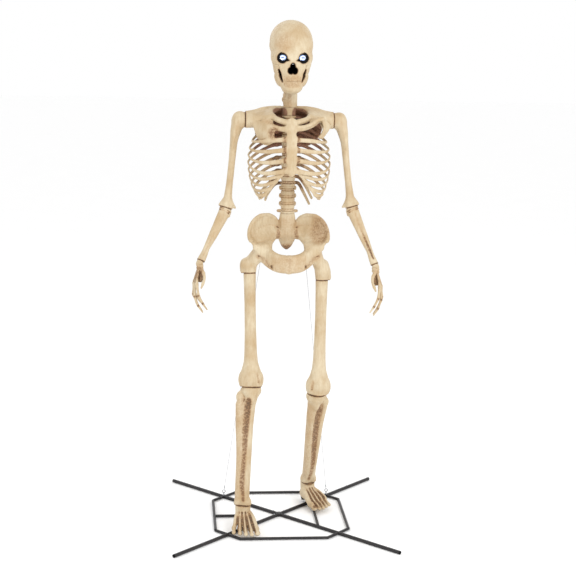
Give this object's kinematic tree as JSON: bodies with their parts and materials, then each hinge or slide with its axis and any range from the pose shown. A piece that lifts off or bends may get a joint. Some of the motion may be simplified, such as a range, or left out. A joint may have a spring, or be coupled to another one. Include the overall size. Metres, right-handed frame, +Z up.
{
  "type": "giant standing skeleton decoration",
  "caption": "Giant standing garden skeleton of moulded bone shells on steel poles, with turning arms and head, glowing eyes and a flat cross-and-ring steel base.",
  "frame": {"origin": "middle of the steel base, on the floor that it stands on", "axes": "+Z up, the skull faces -Y, the figure's right side is towards -X"},
  "size_m": [1.598, 1.598, 3.6584],
  "materials": {
    "bone_plastic": "satin cream moulded plastic with a brown wash in its hollows",
    "dark_steel": "black powder coat",
    "zinc_steel": "zinc plated",
    "black_plastic": "matt",
    "eye_display": "lit pale blue",
    "eye_lens": "clear",
    "cable_sheath": "matt"
  },
  "bodies": {
    "frame": {"base_hub": "dark_steel", "base_arm_front_right": "dark_steel", "base_arm_front_left": "dark_steel", "base_arm_rear_right": "dark_steel", "base_arm_rear_left": "dark_steel", "arm_extensions": "dark_steel", "arm_end_caps": "black_plastic", "ring_bar_front": "dark_steel", "ring_bar_rear": "dark_steel", "ring_bar_right": "dark_steel", "ring_bar_left": "dark_steel", "ring_corners": "dark_steel", "foot_bars": "dark_steel", "foot_bar_stub": "dark_steel", "leg_socket_right": "dark_steel", "leg_socket_left": "dark_steel", "eye_bolts": "zinc_steel", "guy_wire_right": "zinc_steel", "guy_wire_left": "zinc_steel", "leg_pole_lower_right": "dark_steel", "leg_pole_lower_left": "dark_steel", "knee_couplers": "dark_steel", "leg_pole_upper_right": "dark_steel", "leg_pole_upper_left": "dark_steel", "pelvis_frame": "dark_steel", "spine_pole": "dark_steel", "shoulder_bar": "dark_steel", "foot_right": "bone_plastic", "foot_left": "bone_plastic", "shin_right": "bone_plastic", "shin_left": "bone_plastic", "thigh_right": "bone_plastic", "thigh_left": "bone_plastic", "pelvis": "bone_plastic", "lumbar_spine": "bone_plastic", "ribcage_front": "bone_plastic", "ribcage_rear": "bone_plastic", "shoulder_yoke": "bone_plastic", "neck": "bone_plastic", "base_screws": "zinc_steel"},
    "head": {"skull": "bone_plastic", "lower_jaw": "bone_plastic", "eye_housings": "black_plastic", "eye_displays": "eye_display", "eye_lenses": "eye_lens", "neck_bush": "black_plastic", "battery_box": "black_plastic", "battery_cells": "zinc_steel", "eye_cable": "cable_sheath"},
    "battery_door": {"battery_door": "bone_plastic"},
    "upper_arm_right": {"upper_arm_right": "bone_plastic", "elbow_pin_right": "zinc_steel"},
    "upper_arm_left": {"upper_arm_left": "bone_plastic", "elbow_pin_left": "zinc_steel"},
    "forearm_right": {"forearm_right": "bone_plastic", "wrist_pin_right": "zinc_steel"},
    "forearm_left": {"forearm_left": "bone_plastic", "wrist_pin_left": "zinc_steel"},
    "hand_right": {"hand_right": "bone_plastic"},
    "hand_left": {"hand_left": "bone_plastic"}
  },
  "joints": [
    {"name": "head_turn", "type": "hinge", "parent": "frame", "child": "head", "pos_m": [0.028, 0.08, 3.4], "axis": [0, 0, 1], "range_deg": [-45, 45]},
    {"name": "battery_door_hinge", "type": "hinge", "parent": "head", "child": "battery_door", "pos_m": [0.028, 0.186, 3.38], "axis": [-1, 0, 0], "range_deg": [0, 100]},
    {"name": "shoulder_right", "type": "hinge", "parent": "frame", "child": "upper_arm_right", "pos_m": [-0.289, 0.051, 2.957], "axis": [-1, 0, 0], "range_deg": [-20, 100]},
    {"name": "elbow_right", "type": "hinge", "parent": "upper_arm_right", "child": "forearm_right", "pos_m": [-0.42, 0.03, 2.325], "axis": [-0.2861, -0.2069, -0.9356], "range_deg": [-75, 75]},
    {"name": "wrist_right", "type": "hinge", "parent": "forearm_right", "child": "hand_right", "pos_m": [-0.603, -0.13, 1.966], "axis": [-0.4221, -0.369, -0.828], "range_deg": [-90, 90]},
    {"name": "shoulder_left", "type": "hinge", "parent": "frame", "child": "upper_arm_left", "pos_m": [0.345, 0.051, 2.957], "axis": [-1, 0, 0], "range_deg": [-20, 100]},
    {"name": "elbow_left", "type": "hinge", "parent": "upper_arm_left", "child": "forearm_left", "pos_m": [0.491, 0.03, 2.338], "axis": [0.2586, -0.1974, -0.9456], "range_deg": [-75, 75]},
    {"name": "wrist_left", "type": "hinge", "parent": "forearm_left", "child": "hand_left", "pos_m": [0.648, -0.13, 1.945], "axis": [0.347, -0.3536, -0.8686], "range_deg": [-90, 90]}
  ]
}
